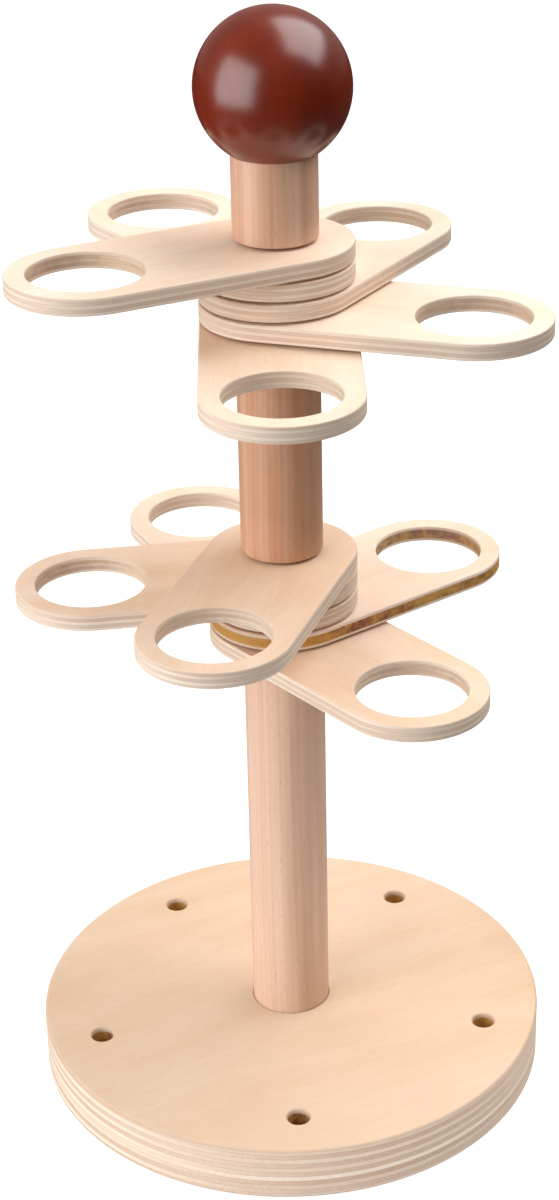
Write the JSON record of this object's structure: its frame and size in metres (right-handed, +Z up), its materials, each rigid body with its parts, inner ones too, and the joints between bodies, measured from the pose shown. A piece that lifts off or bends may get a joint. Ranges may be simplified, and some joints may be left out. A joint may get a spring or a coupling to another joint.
{
  "type": "swivel arm display stand",
  "caption": "Wooden stand with two tiers of flat ring-ended arms that swivel about a central post on a round base, topped with a ball.",
  "frame": {"origin": "middle of the base disc's underside, on the post's axis", "axes": "+Z up along the posts and pivots; the first stick hole is towards -Y, the front"},
  "size_m": [0.2, 0.2, 0.4245],
  "materials": {
    "birch_plywood": "sanded, bare",
    "beech_dowel": "sanded, oiled",
    "brown_lacquer": "satin lacquer",
    "zinc_steel": "zinc plated",
    "brass_insert": "turned",
    "nylon_washer": "moulded"
  },
  "bodies": {
    "stand": {"base_disc": "birch_plywood", "foot_bolt": "zinc_steel", "foot_washer": "zinc_steel", "lower_post": "beech_dowel", "lower_post_foot_insert": "brass_insert", "lower_post_top_insert": "brass_insert", "lower_stud": "zinc_steel", "middle_post": "beech_dowel", "middle_post_foot_insert": "brass_insert", "middle_post_top_insert": "brass_insert", "upper_stud": "zinc_steel", "upper_post": "beech_dowel", "ball_insert": "brass_insert", "ball_knob": "brown_lacquer", "lower_washer_1": "nylon_washer", "lower_washer_2": "nylon_washer", "lower_washer_3": "nylon_washer", "lower_washer_4": "nylon_washer", "lower_washer_5": "nylon_washer", "lower_washer_6": "nylon_washer", "upper_washer_1": "nylon_washer", "upper_washer_2": "nylon_washer", "upper_washer_3": "nylon_washer", "upper_washer_4": "nylon_washer", "upper_washer_5": "nylon_washer", "upper_washer_6": "nylon_washer"},
    "lower_arm_1": {"lower_arm_1": "birch_plywood"},
    "lower_arm_2": {"lower_arm_2": "birch_plywood"},
    "lower_arm_3": {"lower_arm_3": "birch_plywood"},
    "lower_arm_4": {"lower_arm_4": "birch_plywood"},
    "lower_arm_5": {"lower_arm_5": "birch_plywood"},
    "upper_arm_1": {"upper_arm_1": "birch_plywood"},
    "upper_arm_2": {"upper_arm_2": "birch_plywood"},
    "upper_arm_3": {"upper_arm_3": "birch_plywood"},
    "upper_arm_4": {"upper_arm_4": "birch_plywood"},
    "upper_arm_5": {"upper_arm_5": "birch_plywood"}
  },
  "joints": [
    {"name": "lower_arm_1_turn", "type": "hinge", "parent": "stand", "child": "lower_arm_1", "pos_m": [0, 0, 0.1896], "axis": [0, 0, 1], "continuous": true},
    {"name": "lower_arm_2_turn", "type": "hinge", "parent": "stand", "child": "lower_arm_2", "pos_m": [0, 0, 0.197], "axis": [0, 0, 1], "continuous": true},
    {"name": "lower_arm_3_turn", "type": "hinge", "parent": "stand", "child": "lower_arm_3", "pos_m": [0, 0, 0.2044], "axis": [0, 0, 1], "continuous": true},
    {"name": "lower_arm_4_turn", "type": "hinge", "parent": "stand", "child": "lower_arm_4", "pos_m": [0, 0, 0.2118], "axis": [0, 0, 1], "continuous": true},
    {"name": "lower_arm_5_turn", "type": "hinge", "parent": "stand", "child": "lower_arm_5", "pos_m": [0, 0, 0.2192], "axis": [0, 0, 1], "continuous": true},
    {"name": "upper_arm_1_turn", "type": "hinge", "parent": "stand", "child": "upper_arm_1", "pos_m": [0, 0, 0.3102], "axis": [0, 0, 1], "continuous": true},
    {"name": "upper_arm_2_turn", "type": "hinge", "parent": "stand", "child": "upper_arm_2", "pos_m": [0, 0, 0.3176], "axis": [0, 0, 1], "continuous": true},
    {"name": "upper_arm_3_turn", "type": "hinge", "parent": "stand", "child": "upper_arm_3", "pos_m": [0, 0, 0.325], "axis": [0, 0, 1], "continuous": true},
    {"name": "upper_arm_4_turn", "type": "hinge", "parent": "stand", "child": "upper_arm_4", "pos_m": [0, 0, 0.3324], "axis": [0, 0, 1], "continuous": true},
    {"name": "upper_arm_5_turn", "type": "hinge", "parent": "stand", "child": "upper_arm_5", "pos_m": [0, 0, 0.3398], "axis": [0, 0, 1], "continuous": true}
  ]
}
